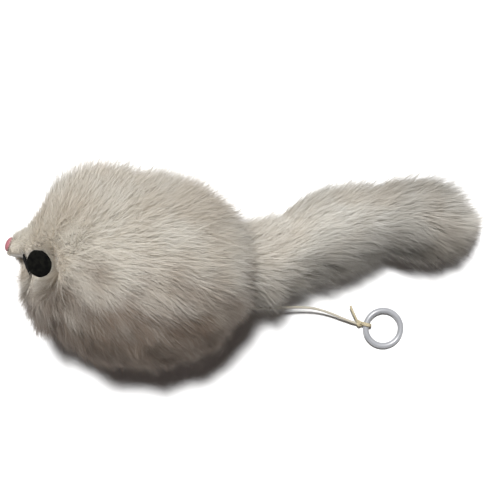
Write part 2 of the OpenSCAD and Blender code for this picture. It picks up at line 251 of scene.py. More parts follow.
def tube_faces(rings, sides, joined=False):
    """Faces of a closed tube whose points come ring by ring. A joined one's last ring meets its first."""
    faces = []
    for i in range(rings if joined else rings - 1):
        a, b = i * sides, (i + 1) % rings * sides
        for k in range(sides):
            n = (k + 1) % sides
            faces.append((a + k, a + n, b + n, b + k))
    if not joined:
        faces.append(tuple(reversed(range(sides))))
        faces.append(tuple((rings - 1) * sides + k for k in range(sides)))
    return faces


def round_angles(count):
    """Even angles round a circle."""
    return 2 * math.pi * np.arange(count) / count


def laid_cord(name, route, diameter, yarns=3, sides=15, joined=False):
    """A cord of twisted yarns along a route: a tube with one lobe for each yarn, which winds round."""
    _, side, up = frames_along(route)
    travelled = distances(route)
    turns = travelled / CORD_LAY
    if joined:
        turns = np.arange(len(route)) / len(route) * round(travelled[-1] / CORD_LAY)
    points = []
    for at, s, u, turn in zip(route, side, up, turns):
        for a in round_angles(sides):
            lobe = abs(math.cos(yarns / 2 * (a - 2 * math.pi * turn)))
            r = diameter / 2 * (0.76 + 0.24 * lobe ** 0.6)
            points.append(at + r * (math.cos(a) * s + math.sin(a) * u))
    return mesh_object(name, points, tube_faces(len(route), sides, joined=joined))


# ---- shader parts ----

def feed(tree, socket, value):
    """Gives an input its value, or its link from another node's output."""
    if isinstance(value, bpy.types.NodeSocket):
        tree.links.new(value, socket)
    else:
        socket.default_value = value


def add(tree, kind, settings=None, **values):
    """A shader node with its settings, and its inputs' values or links."""
    made = tree.nodes.new("ShaderNode" + kind)
    for name, value in (settings or {}).items():
        setattr(made, name, value)
    for name, value in values.items():
        feed(tree, made.inputs[name.replace("_", " ")], value)
    return made


def shader_group(name, inputs, output, build):
    """A node group with these inputs and one output, which build(tree, inputs) returns."""
    tree = bpy.data.node_groups.new(name, "ShaderNodeTree")
    for label, kind, value in inputs:
        socket = tree.interface.new_socket(name=label, in_out="INPUT", socket_type=kind)
        socket.default_value = value
    tree.interface.new_socket(name=output[0], in_out="OUTPUT", socket_type=output[1])
    entry = tree.nodes.new("NodeGroupInput")
    leave = tree.nodes.new("NodeGroupOutput")
    tree.links.new(build(tree, entry.outputs), leave.inputs[0])
    return tree


NUMBER, COLOUR = "NodeSocketFloat", "NodeSocketColor"
GREY = (0.5, 0.5, 0.5, 1)


def colour_mix(tree, share, a, b, blend="MIX"):
    """The colour between a and b by a share."""
    made = add(tree, "Mix", {"data_type": "RGBA", "blend_type": blend})
    for place, value in ((0, share), (6, a), (7, b)):
        feed(tree, made.inputs[place], value)
    return made.outputs[2]


def product(tree, a, b):
    """a times b, from 0 to 1."""
    made = add(tree, "Math", {"operation": "MULTIPLY", "use_clamp": True})
    feed(tree, made.inputs[0], a)
    feed(tree, made.inputs[1], b)
    return made.outputs[0]


def shader_mix(tree, share, a, b, output):
    """Sends a shader between a and b by a share to the output's surface."""
    made = add(tree, "MixShader")
    for place, value in enumerate((share, a, b)):
        feed(tree, made.inputs[place], value)
    tree.links.new(made.outputs[0], output.inputs["Surface"])


def object_noise(tree, scale, detail=3.0, stretch=None):
    """Noise that is fixed to the object, and stretched along an axis if asked."""
    place = add(tree, "TexCoord").outputs["Object"]
    if stretch:
        place = add(tree, "Mapping", Vector=place, Scale=stretch).outputs[0]
    return add(tree, "TexNoise", Vector=place, Scale=scale, Detail=detail).outputs[0]


def build_mottle(tree, given):
    patches = object_noise(tree, given["Scale"])
    share = add(tree, "MapRange", {"interpolation_type": "SMOOTHSTEP"}, Value=patches,
                From_Min=0.35, From_Max=0.65).outputs[0]
    return colour_mix(tree, share, given["Dark"], given["Light"])


def build_grain(tree, given):
    return product(tree, object_noise(tree, given["Scale"], 5.0), 0.5)


def build_wear(tree, given):
    edge = add(tree, "NewGeometry").outputs["Pointiness"]
    raised = add(tree, "MapRange", Value=edge, From_Min=0.5, From_Max=0.56).outputs[0]
    worn = product(tree, raised, object_noise(tree, given["Scale"], 4.0))
    return colour_mix(tree, worn, given["Clean"], given["Worn"])


def build_hair_colour(tree, given):
    along = add(tree, "Attribute", {"attribute_name": "along"}).outputs["Fac"]
    shade = add(tree, "Attribute", {"attribute_name": "shade"}).outputs["Fac"]
    hair = colour_mix(tree, along, given["Root"], given["Tip"])
    # Painted shade: each hair is mixed from a shade colour to a bright one by its 'shade' number, which
    # holds painted shade as well as random tone.
    varied = colour_mix(tree, shade, given["Dull"], given["Bright"])
    return colour_mix(tree, 1.0, hair, varied, "MULTIPLY")


MOTTLE = shader_group(
    "Mottle",
    [("Dark", COLOUR, GREY), ("Light", COLOUR, GREY), ("Scale", NUMBER, 100.0)],
    ("Color", COLOUR), build_mottle)
GRAIN = shader_group("Grain", [("Scale", NUMBER, 1000.0)], ("Height", NUMBER), build_grain)
WEAR = shader_group(
    "Edge wear",
    [("Clean", COLOUR, GREY), ("Worn", COLOUR, GREY), ("Scale", NUMBER, 400.0)],
    ("Color", COLOUR), build_wear)
HAIR_COLOUR = shader_group(
    "Hair colour and painted shade",
    [("Root", COLOUR, GREY), ("Tip", COLOUR, GREY), ("Dull", COLOUR, GREY), ("Bright", COLOUR, GREY)],
    ("Color", COLOUR), build_hair_colour)


def use(tree, group, **values):
    """A shader group placed in a material, with its inputs' values or links."""
    made = tree.nodes.new("ShaderNodeGroup")
    made.node_tree = group
    for name, value in values.items():
        feed(tree, made.inputs[name], value)
    return made.outputs[0]


def material(name, **numbers):
    """A plain Principled material with these numbers on its sockets: it, its tree and its shader."""
    made = bpy.data.materials.new(name)
    made.use_nodes = True
    shader = made.node_tree.nodes["Principled BSDF"]
    for label, value in numbers.items():
        shader.inputs[label.replace("_", " ")].default_value = value
    return made, made.node_tree, shader


def bumped(tree, shader, height, depth):
    """Raises the surface by a height map, up to a depth in millimetres."""
    bump = add(tree, "Bump", Height=height, Distance=depth * MM, Strength=1.0)
    tree.links.new(bump.outputs[0], shader.inputs["Normal"])


def rgb(r, g, b):
    return (r, g, b, 1)


def scaled(colour, by):
    return (*[min(1, c * by) for c in colour[:3]], 1)


# ---- finishes ----

LIT_THROUGH = 0.5                 # share of the light on a hair that passes through it


def moulded(name, colour, roughness, grain_scale=900.0, grain_depth=0.02, **numbers):
    """Moulded plastic: faint mottle, fine grain and paler rubbed edges."""
    made, tree, shader = material(name, **numbers)
    tone = use(tree, MOTTLE, Dark=scaled(colour, 0.88), Light=scaled(colour, 1.05), Scale=120.0)
    worn = use(tree, WEAR, Clean=tone, Worn=scaled(colour, 1.25), Scale=500.0)
    tree.links.new(worn, shader.inputs["Base Color"])
    rough = add(tree, "MapRange", Value=object_noise(tree, 300.0), To_Min=roughness - 0.08,
                To_Max=roughness + 0.1).outputs[0]
    tree.links.new(rough, shader.inputs["Roughness"])
    bumped(tree, shader, use(tree, GRAIN, Scale=grain_scale), grain_depth)
    return made


def turned_metal(name, colour, roughness, tarnish):
    """Turned or drawn metal: fine lines round it, with dull patches."""
    made, tree, shader = material(name, Metallic=1.0)
    tone = use(tree, MOTTLE, Dark=tarnish, Light=colour, Scale=260.0)
    worn = use(tree, WEAR, Clean=tone, Worn=scaled(colour, 1.2), Scale=700.0)
    tree.links.new(worn, shader.inputs["Base Color"])
    lines = object_noise(tree, 1800.0, 2.0, (1, 1, 6))
    rough = add(tree, "MapRange", Value=lines, To_Min=roughness - 0.08, To_Max=roughness + 0.12)
    tree.links.new(rough.outputs[0], shader.inputs["Roughness"])
    bumped(tree, shader, lines, 0.01)
    return made


def fibres(name, dark, light, roughness, scale, depth, stretch=(1, 1, 1), **numbers):
    """Spun or felted fibre: colour and height follow the same fine strands."""
    made, tree, shader = material(name, Roughness=roughness, **numbers)
    strands = object_noise(tree, scale, 4.0, stretch)
    tone = use(tree, MOTTLE, Dark=scaled(dark, 0.94), Light=dark, Scale=scale / 8)
    share = add(tree, "MapRange", Value=strands, From_Min=0.35, From_Max=0.65).outputs[0]
    tree.links.new(colour_mix(tree, share, tone, light), shader.inputs["Base Color"])
    bumped(tree, shader, strands, depth)
    return made


def crinkled_black():
    """Matt black leather cloth with fine crinkles, a little grey where it is rubbed."""
    made, tree, shader = material("crinkled_black", Specular_IOR_Level=0.06)
    tone = use(tree, MOTTLE, Dark=rgb(0.0015, 0.0015, 0.0015), Light=rgb(0.005, 0.005, 0.004),
               Scale=500.0)
    worn = use(tree, WEAR, Clean=tone, Worn=rgb(0.014, 0.013, 0.012), Scale=900.0)
    tree.links.new(worn, shader.inputs["Base Color"])
    place = add(tree, "TexCoord").outputs["Object"]
    cells = add(tree, "TexVoronoi", {"feature": "SMOOTH_F1"}, Vector=place, Scale=1400.0).outputs[0]
    rough = add(tree, "MapRange", Value=cells, To_Min=0.75, To_Max=0.95).outputs[0]
    tree.links.new(rough, shader.inputs["Roughness"])
    bumped(tree, shader, cells, 0.12)
    return made


def hair_finish(name, root, tip, shade_colour=rgb(0.44, 0.365, 0.325)):
    """Soft white fur: warmer at the root, paler to the tip, and half lit through. Hairs are painted
    towards the given shade colour where painted shade falls.
    """
    made, tree, shader = material(name, Sheen_Weight=0.15, Sheen_Roughness=0.5,
                                  Specular_IOR_Level=0.2)
    hair = use(tree, HAIR_COLOUR, Root=root, Tip=tip, Dull=shade_colour, Bright=rgb(1.04, 1.04, 1.04))
    patch = use(tree, MOTTLE, Dark=rgb(0.92, 0.89, 0.84), Light=rgb(1, 1, 0.98), Scale=45.0)
    colour = colour_mix(tree, 1.0, hair, patch, "MULTIPLY")
    tree.links.new(colour, shader.inputs["Base Color"])
    along = add(tree, "Attribute", {"attribute_name": "along"}).outputs["Fac"]
    rough = add(tree, "MapRange", Value=along, To_Min=0.9, To_Max=0.62).outputs[0]
    tree.links.new(rough, shader.inputs["Roughness"])
    through = add(tree, "BsdfTranslucent", Color=colour)
    shader_mix(tree, LIT_THROUGH, shader.outputs[0], through.outputs[0], tree.nodes["Material Output"])
    return made


CREAM_ROOT = rgb(0.69, 0.65, 0.585)
CREAM_TIP = rgb(0.775, 0.76, 0.725)

FINISH = {
    "fur": hair_finish("cream_fur", CREAM_ROOT, CREAM_TIP),
    "tail_fur": hair_finish("tail_fur", rgb(0.69, 0.665, 0.62), rgb(0.77, 0.765, 0.745),
                            # The third colour is painted shade: a grey for the tail's shaded side and its
                            # far end.
                            rgb(0.44, 0.42, 0.40)),
    "underfur": fibres("underfur", rgb(0.34, 0.31, 0.27), rgb(0.46, 0.43, 0.38), 0.95, 700.0,
                       0.35, Sheen_Weight=0.4),
    "fill": fibres("polyester_fill", rgb(0.78, 0.78, 0.76), rgb(0.93, 0.93, 0.92), 0.9, 350.0,
                   0.5, Sheen_Weight=0.3),
    "hide": fibres("tanned_hide", rgb(0.50, 0.39, 0.28), rgb(0.64, 0.53, 0.41), 0.8, 600.0, 0.08),
    "thread": fibres("sewing_thread", rgb(0.62, 0.59, 0.52), rgb(0.82, 0.79, 0.71), 0.75, 2500.0,
                     0.05, (1, 4, 4)),
    "eye_black": crinkled_black(),
    "nose_pink": moulded("dusty_pink", rgb(0.30, 0.10, 0.12), 0.6, 1600.0, 0.05,
                         Specular_IOR_Level=0.35),
    "case_plastic": moulded("case_plastic", rgb(0.62, 0.63, 0.62), 0.45),
    "gear_plastic": moulded("gear_plastic", rgb(0.80, 0.78, 0.70), 0.38, 1200.0, 0.01),
    "steel": turned_metal("bright_steel", rgb(0.60, 0.61, 0.63), 0.28, rgb(0.42, 0.42, 0.43)),
    "spring": turned_metal("blued_spring", rgb(0.30, 0.33, 0.40), 0.32, rgb(0.20, 0.19, 0.22)),
    "brass": turned_metal("brass", rgb(0.70, 0.50, 0.20), 0.3, rgb(0.48, 0.33, 0.14)),
    "cord": fibres("twisted_cord", rgb(0.27, 0.24, 0.19), rgb(0.46, 0.43, 0.36), 0.8, 3500.0, 0.06,
                   (1, 5, 5)),
    "knot": fibres("knotted_cord", rgb(0.26, 0.22, 0.14), rgb(0.48, 0.42, 0.29), 0.8, 3000.0, 0.06),
    "ring_plastic": moulded("ring_plastic", rgb(0.27, 0.275, 0.29), 0.34, 700.0, 0.015,
                            Coat_Weight=0.25, Coat_Roughness=0.2),
}

NODE_FINISH = {
    "fill": ["stuffing"],
    "thread": ["pelt_stitches"],
    "hide": ["tail_tape"],
    "nose_pink": ["nose"],
    "case_plastic": ["lower_case", "upper_case"],
    "gear_plastic": ["idler_spacer", "cord_drum", "drum_lid", "idler_gear", "rotor_pinion"],
    "steel": ["case_screws", "drum_arbor", "drum_washer", "idler_pin", "rotor_shaft"],
    "spring": ["mainspring"],
    "brass": ["cord_bush", "eccentric_weight"],
    "cord": ["inner_cord", "cord_winding"],
    "ring_plastic": ["pull_ring"],
}


def put_on(piece, finish):
    piece.data.materials.clear()
    piece.data.materials.append(FINISH[finish])
    return piece


def finish_cad_nodes():
    """Gives every node that is kept as it is its finish."""
    for finish, nodes in NODE_FINISH.items():
        for node in nodes:
            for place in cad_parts[node].material_slots:
                place.material = FINISH[finish]


# ---- camera, floor and light ----

def make_camera():
    """A long lens straight above the table."""
    data = bpy.data.cameras.new("camera")
    data.sensor_width = SENSOR
    data.lens = SENSOR * CAMERA_HEIGHT / TABLE_IN_VIEW
    data.clip_start = 0.01
    camera = bpy.data.objects.new("camera", data)
    bpy.context.scene.collection.objects.link(camera)
    camera.location = OVERHEAD * MM
    bpy.context.scene.camera = camera


def make_floor():
    corners = [(x * FLOOR_HALF, y * FLOOR_HALF, FLOOR_TOP)
               for x, y in ((-1, -1), (1, -1), (1, 1), (-1, 1))]
    floor = mesh_object("floor", corners, [(0, 1, 2, 3)])
    made, tree, shader = material("pale_floor", Roughness=0.7, Specular_IOR_Level=0.2)
    tone = use(tree, MOTTLE, Dark=rgb(0.79, 0.79, 0.79), Light=rgb(0.81, 0.81, 0.81), Scale=4.0)
    tree.links.new(tone, shader.inputs["Base Color"])
    floor.data.materials.append(made)


def make_light():
    """Daylight from above and beyond the far side, faint warm light all round, a pale backdrop."""
    data = bpy.data.lights.new("window", "SUN")
    data.energy = DAYLIGHT
    data.angle = math.radians(DAYLIGHT_SOFTNESS)
    lamp = bpy.data.objects.new("window", data)
    bpy.context.scene.collection.objects.link(lamp)
    lamp.rotation_euler = (-Vector(DAYLIGHT_FROM)).to_track_quat("-Z", "Y").to_euler()
    world = bpy.data.worlds.new("room")
    world.use_nodes = True
    tree = world.node_tree
    room = tree.nodes["Background"]
    room.inputs["Color"].default_value = rgb(1, 0.84, 0.80)
    room.inputs["Strength"].default_value = ROOM_LIGHT
    backdrop = add(tree, "Background", Color=rgb(0.9, 0.9, 0.91), Strength=1.0)
    seen = add(tree, "LightPath").outputs["Is Camera Ray"]
    shader_mix(tree, seen, room.outputs[0], backdrop.outputs[0], tree.nodes["World Output"])
    bpy.context.scene.world = world
    bpy.context.scene.view_settings.view_transform = "Standard"


# ---- pull cord ----

def make_cord():
    route = smooth_route(CORD_ROUTE, CORD_STEP)
    cord = put_on(laid_cord("pull_cord_free", route, CORD_D), "cord")
    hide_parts("pull_cord")
    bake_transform(cord)
    return cord, route


def make_loose_end():
    route = smooth_route(LOOSE_ROUTE, CORD_STEP)
    end = put_on(laid_cord("cord_tail_end", route, CORD_D * 0.96), "knot")
    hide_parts("cord_loose_end")
    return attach(end, "pull")


def trefoil(middle, across, up, out, size, count=90):
    """The line of a simple overhand knot."""
    t = np.linspace(0, 2 * math.pi, count, endpoint=False)[:, None]
    return middle + size * ((np.sin(t) + 2 * np.sin(2 * t)) * across
                            + (np.cos(t) - 2 * np.cos(2 * t)) * up - 1.5 * np.sin(3 * t) * out)


def make_knot():
    """Two turns of cord round the ring's section, tied off beside it in a small hard knot."""
    low, high = box_mm("pull_ring")
    knot_low, knot_high = box_mm("cord_knot")
    ring_mid_r = (high[0] - low[0] - RING_THICK) / 2
    out = (knot_low + knot_high - low - high) * (1, 1, 0)
    out = out / np.linalg.norm(out)
    up = np.array([0, 0, 1.0])
    across = np.cross(up, out)
    on_ring = (low + high) / 2 + ring_mid_r * out
    on_ring[2] = (knot_low[2] + knot_high[2]) / 2
    turns = np.linspace(-1, 1, 70)[:, None]
    wrap_r = (RING_THICK + CORD_D) / 2 + CORD_SLACK
    wrap = on_ring + WRAP_HALF * turns * across + wrap_r * (
        np.cos(2 * math.pi * turns) * out + np.sin(2 * math.pi * turns) * up)
    tied = trefoil(on_ring + (wrap_r + CORD_D + KNOT_GAP) * out, across, up, out, KNOT_THIRD)
    parts = [laid_cord("knot_wrap", wrap, CORD_D * 0.95),
             laid_cord("tied_knot", tied, CORD_D, joined=True)]
    with bpy.context.temp_override(active_object=parts[1], selected_editable_objects=parts):
        bpy.ops.object.join()
    knot = put_on(parts[1], "knot")
    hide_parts("cord_knot")
    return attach(knot, "pull")


# ---- eyes ----

def round_part(node):
    """The middle of a thin round part of the face, and the way that it faces."""
    low, high = box_mm(node)
    points = np.array([v.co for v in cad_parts[node].data.vertices]) / MM
    facing = np.linalg.svd(points - points.mean(0))[2][2]
    return (low + high) / 2, facing * np.sign(facing @ (points.mean(0) - BALL))


def make_eye(name, node):
    """A soft black disc, a little out of round, with a rolled edge and a crinkled face."""
    middle, facing = round_part(node)
    side = unit(np.cross(facing, (0, 0, 1)))
    up = np.cross(side, facing)
    profile = [(0.2, 0.75), (0.4, 0.74), (0.6, 0.7), (0.78, 0.62), (0.9, 0.5), (0.97, 0.25),
               (1, 0), (0.97, -0.25), (0.9, -0.5), (0.5, -0.55)]
    around = 56
    points = [middle + EYE_FACE * facing]
    for share, rise in profile:
        for a in round_angles(around):
            r = share * EYE_R * (1 + 0.025 * math.sin(3 * a + 1) + 0.012 * math.sin(7 * a))
            flat = math.cos(a) * side + math.sin(a) * up
            crinkle = EYE_CRINKLE * noise.fractal(Vector((middle + r * flat) / 1.6), 1.0, 2.0, 3)
            points.append(middle + r * flat + (rise + crinkle) * facing)
    points.append(middle - EYE_BACK * facing)
    faces = [(0, 1 + k, 1 + (k + 1) % around) for k in range(around)]
    for i in range(len(profile) - 1):
        a, b = 1 + i * around, 1 + (i + 1) * around
        faces += [(a + k, b + k, b + (k + 1) % around, a + (k + 1) % around)
                  for k in range(around)]
    last = len(points) - 1
    start = last - around
    faces += [(last, start + (k + 1) % around, start + k) for k in range(around)]
    eye = put_on(mesh_object(name, points, faces), "eye_black")
    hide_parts(node)
    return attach(eye, "body")


# ---- hide and fur ----

def smooth_least(a, b, k):
    """The lesser of a and b, rounded off over a width k where they meet."""
    h = np.clip(0.5 + 0.5 * (b - a) / k, 0, 1)
    return b + (a - b) * h - k * h * (1 - h)


def body_depth(p):
    """How far each point is outside the body's hide. It is negative inside."""
    share = np.linalg.norm((p - BALL) / BALL_R, axis=1)
    ball = share * (share - 1) / np.maximum(np.linalg.norm((p - BALL) / BALL_R ** 2, axis=1), 1e-9)
    shoulder = np.linalg.norm(p - SHOULDER, axis=1) - SHOULDER_R
    ball = smooth_least(ball, shoulder, 12)
    behind = (MUZZLE_TIP - p) @ HEADING
    aside = np.linalg.norm(p - MUZZLE_TIP + behind[:, None] * HEADING, axis=1)
    slope = (MUZZLE_ROOT_R - MUZZLE_TIP_R) / MUZZLE_LEN
    cone = (aside - MUZZLE_TIP_R - behind * slope) / math.hypot(1, slope)
    cone = np.maximum(np.maximum(cone, -behind), behind - MUZZLE_LEN)
    whole = smooth_least(ball, cone, MUZZLE_BLEND)
    return -smooth_least(-whole, p[:, 2] - PRESS, 5)


def on_body_hide(directions):
    """Where a line from the ball's middle in each direction leaves the hide."""
    near, far = np.zeros(len(directions)), np.full(len(directions), 80.0)
    for _ in range(24):
        middle = (near + far) / 2
        inside = body_depth(BALL + directions * middle[:, None]) < 0
        near, far = np.where(inside, middle, near), np.where(inside, far, middle)
    return BALL + directions * near[:, None]


def make_body_hide():
    """The body's hide, with the woolly underfur on it."""
    form = bmesh.new()
    bmesh.ops.create_icosphere(form, subdivisions=6, radius=1)
    directions = unit(np.array([v.co for v in form.verts]))
    faces = [tuple(v.index for v in f.verts) for f in form.faces]
    form.free()
    points = on_body_hide(directions)
    lumps = np.array([noise.fractal(Vector(p / 7), 1.0, 2.0, 3) for p in points])
    points = points + directions * (HIDE_LUMP * lumps * fade(points[:, 2], 2, 12))[:, None]
    for node, (reach, slope) in EYE_HOLLOW.items():
        middle, facing = round_part(node)
        rise = (points - middle) @ facing
        aside = np.linalg.norm(points - middle - rise[:, None] * facing, axis=1)
        dish = slope * np.maximum(aside - EYE_R, 0) - EYE_SEAT
        below = fade(middle[2] - points[:, 2], -4, 4)
        sink = np.maximum(rise - dish, 0) * (1 - fade(aside, EYE_R + 1, reach * (1 - 0.4 * below)))
        sink *= (rise < EYE_DEPTH) * fade(np.linalg.norm(points - NOSE_TIP, axis=1), 5, 10)
        points -= sink[:, None] * facing
    hide = put_on(mesh_object("body_underfur", points, faces), "underfur")
    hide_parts("fur_cover")
    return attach(hide, "body")


def tail_places():
    """Middle and radius of the tail's hide, at even stations along it."""
    line = smooth_route(TAIL_LINE, 0.5)
    travelled = distances(line[:, :3])
    at = np.linspace(0, travelled[-1], TAIL_STATIONS)
    line = np.stack([np.interp(at, travelled, line[:, k]) for k in range(4)], axis=1)
    return line[:, :3], line[:, 3]


def bend_at(piece):
    """Bakes a piece of the tail's placing into its mesh."""
    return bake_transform(piece)


def make_tail_hide(name, node, keep):
    """One length of the tail's hide, with the woolly underfur on it."""
    sides = 40
    middle, radius = tail_places()
    chosen = keep(middle[:, 0])
    _, side, up = frames_along(middle)
    points = []
    for at, s, u, r in zip(middle[chosen], side[chosen], up[chosen], radius[chosen]):
        for a in round_angles(sides):
            out = math.cos(a) * s + math.sin(a) * u
            lump = HIDE_LUMP * noise.fractal(Vector((at + r * out) / 6), 1.0, 2.0, 3)
            points.append(at + (r + lump) * out)
    hide = put_on(mesh_object(name, points, tube_faces(int(chosen.sum()), sides)), "underfur")
    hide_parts(node)
    return bend_at(hide)


def make_tail_core():
    """The soft roll of hide inside the tail."""
    sides = 16
    low, high = box_mm("tail_core")
    radius = (high[2] - low[2]) / 2
    line = smooth_route(TAIL_CORE_LINE, 2)
    _, side, up = frames_along(line)
    points = [at + radius * (math.cos(a) * s + math.sin(a) * u)
              for at, s, u in zip(line, side, up) for a in round_angles(sides)]
    core = put_on(mesh_object("tail_roll", points, tube_faces(len(line), sides)), "hide")
    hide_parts("tail_core")
    return bend_at(core)


def ribbons(name, paths, sides, widths, shades, normals):
    """Hairs as thin ribbons that narrow to a point. paths is hairs by points by xyz."""
    hairs, steps, _ = paths.shape
    half = sides[:, None, :] * (widths[:, None] * hair_taper(steps)[None, :])[:, :, None] / 2
    left, right = paths - half, paths + half
    body = np.stack([left[:, :-1], right[:, :-1]], axis=2).reshape(hairs, 2 * (steps - 1), 3)
    points = np.concatenate([body, paths[:, -1:]], axis=1)
    per = points.shape[1]
    quads = [(2 * i, 2 * i + 1, 2 * i + 3, 2 * i + 2) for i in range(steps - 2)]
    corners = [c for quad in quads for c in quad] + [per - 3, per - 2, per - 1]
    counts = [4] * len(quads) + [3]
    loops = (np.arange(hairs)[:, None] * per + np.array(corners)[None, :]).ravel()
    totals = np.tile(counts, hairs)
    mesh = bpy.data.meshes.new(name)
    mesh.vertices.add(hairs * per)
    mesh.vertices.foreach_set("co", (points * MM).astype(np.float32).ravel())
    mesh.loops.add(len(loops))
    mesh.loops.foreach_set("vertex_index", loops.astype(np.int32))
    mesh.polygons.add(len(totals))
    mesh.polygons.foreach_set("loop_start", (np.cumsum(totals) - totals).astype(np.int32))
    mesh.polygons.foreach_set("use_smooth", [True] * len(totals))
    t = np.repeat(np.arange(steps - 1) / (steps - 1), 2)
    along = np.tile(np.append(t, 1), hairs)
    write_attribute(mesh, "along", along)
    write_attribute(mesh, "shade", np.repeat(shades, per))
    lay_out_hairs(mesh, hairs, corners, np.append(t, 1))
    mesh.update(calc_edges=True)
    body_normals = np.repeat(normals, 2, axis=1)[:, :per - 1]
    shown = np.concatenate([body_normals, normals[:, -1:]], axis=1).reshape(-1, 3)
    mesh.normals_split_custom_set_from_vertices(unit(shown).tolist())
    return link(name, mesh)


def hair_taper(steps):
    """A hair's share of its full width at each of its points."""
    t = np.arange(steps) / (steps - 1)
    return np.minimum(1, 1.25 * (1 - t) ** 0.6)


def write_attribute(mesh, name, values):
    """Stores a number for each of a mesh's points, for its finish to read."""
    made = mesh.attributes.new(name, "FLOAT", "POINT")
    made.data.foreach_set("value", values.astype(np.float32))


def lay_out_hairs(mesh, hairs, corners, along):
    """A flat layout of the hairs, each in its own cell of a square grid."""
    cells = math.ceil(math.sqrt(hairs))
    layer = mesh.uv_layers.new(name="OFBake")
    across = np.array([0.2 if c % 2 == 0 else 0.8 for c in corners])
    across[-1] = 0.5
    up = 0.1 + 0.8 * along[np.array(corners)]
    hair = np.arange(hairs)[:, None]
    u = (hair % cells + across[None, :]) / cells
    v = (hair // cells + up[None, :]) / cells
    layer.data.foreach_set("uv", np.stack([u, v], axis=2).astype(np.float32).ravel())


def nearest_owner(roots, clumps):
    """The number of the clump whose own root is nearest to each root."""
    tree = KDTree(len(clumps))
    for i, at in enumerate(roots[clumps]):
        tree.insert(at, i)
    tree.balance()
    return np.array([tree.find(at)[1] for at in roots])


def sway(roots, size, seed):
    """A smooth push that changes its way over the hide about once in each size."""
    return np.array([noise.noise_vector(Vector(at / size) + Vector((seed, 0, 0))) for at in roots])


def comb(roots, normals, flow, length, lift, end_lift, clumping, droop, scatter, clump_hairs=20):
    """Grows a hair from each root: it leaves along the normal and the flow, and bends over.

    Hairs gather towards the nearest clump's own hair by a share, clumping."""
    hairs = len(roots)
    clumps = rng.choice(hairs, max(1, hairs // clump_hairs), replace=False)
    owner = nearest_owner(roots, clumps)
    shared = 0.45 * sway(roots, 9, 3) + 0.3 * sway(roots, 3.5, 7)
    own = rng.normal(0, scatter, (hairs, 3))
    down = np.array([0, 0, 1.0]) * np.broadcast_to(droop, hairs)[:, None]
    leave = unit(normals * lift[:, None] + flow + 0.5 * shared + own)
    arrive = unit(normals * end_lift[:, None] + flow + shared + own - down)
    t = (np.arange(HAIR_POINTS) / (HAIR_POINTS - 1))[None, :, None]
    size = length[:, None, None]
    paths = roots[:, None] + size * (leave[:, None] * (t - t * t / 2) + arrive[:, None] * t * t / 2)
    gather = clumping[:, None, None] * t ** 1.5
    paths = paths + gather * (paths[clumps][owner] - paths)
    paths[:, :, 2] = np.maximum(paths[:, :, 2], 0.3 + 0.5 * rng.random((hairs, 1)))
    return paths


def dress(name, paths, normals, finish, painted_light_and_tone):
    """Turns combed hairs into ribbons. The last argument is 1 where the fur is left bright and 0 where
    painted shade darkens it most; it also holds random tone.
    """
    heading = unit(paths[:, -1] - paths[:, 0])
    side = unit(np.cross(heading, normals))
    turn = rng.uniform(-0.7, 0.7, (len(paths), 1))
    side = unit(side * np.cos(turn) + np.cross(heading, side) * np.sin(turn))
    tangents = unit(np.gradient(paths, axis=1))
    out = normals[:, None, :]
    shown = unit(out - 0.25 * (out * tangents).sum(-1, keepdims=True) * tangents
                 + 0.06 * rng.normal(0, 1, (len(paths), 1, 3)))
    widths = HAIR_W * rng.uniform(0.7, 1.3, len(paths))
    # Painted shade with random tone: a hair goes towards its shade colour as this number falls.
    shades = np.clip(painted_light_and_tone + 0.1 * rng.normal(0, 1, len(paths)), 0, 1)
    made = ribbons(name, paths, side, widths, shades, shown)
    return put_on(made, finish)


def clear_of(paths, node, radius):
    """True for hairs that leave a round part of the face open, from its front and from overhead."""
    middle, facing = round_part(node)
    offset = np.concatenate([paths, (paths[:, 1:] + paths[:, :-1]) / 2], axis=1) - middle
    rise = offset @ facing
    aside = np.linalg.norm(offset - rise[:, :, None] * facing, axis=2)
    sight = unit(OVERHEAD - middle)
    from_above = np.linalg.norm(offset - (rise / (facing @ sight))[:, :, None] * sight, axis=2)
    over = (aside < radius) & (rise < EYE_OVERHANG) | (from_above < radius)
    return ~(over & (rise > -1.5)).any(axis=1)


def scatter_roots(hide, count, share=None):
    """Random places on a hide, evenly by area or by a share of it, and the hide's normals there."""
    mesh = hide.data
    mesh.calc_loop_triangles()
    corners = np.empty(len(mesh.loop_triangles) * 3, np.int32)
    mesh.loop_triangles.foreach_get("vertices", corners)
    points = np.empty(len(mesh.vertices) * 3, np.float32)
    mesh.vertices.foreach_get("co", points)
    points = points.reshape(-1, 3).astype(float) / MM
    a, b, c = points[corners.reshape(-1, 3)].transpose(1, 0, 2)
    weight = np.linalg.norm(np.cross(b - a, c - a), axis=1)
    if share is not None:
        weight = weight * share((a + b + c) / 3)
    pick = rng.choice(len(a), count, p=weight / weight.sum())
    u, v = rng.random((2, count, 1))
    flip = (u + v) > 1
    u, v = np.where(flip, 1 - u, u), np.where(flip, 1 - v, v)
    roots = a[pick] + u * (b[pick] - a[pick]) + v * (c[pick] - a[pick])
    return roots, unit(np.cross(b - a, c - a))[pick]


def body_flow(roots, normals):
    """Fur on the body lies back from the nose, and falls away on the near side and low down."""
    away = unit(roots - NOSE_TIP)
    near = fade(-roots[:, 1], -6, 30)[:, None]
    low = fade(-roots[:, 2], -60, -10)[:, None]
    far = fade(roots[:, 1], 14, 40)[:, None]
    pull = (away + near * np.array([0.1, -0.9, 0]) + low * np.array([0, 0, -0.6])
            + far * np.array([-0.45, 0.5, 0]))
    return unit(pull - dot(pull, normals) * normals)


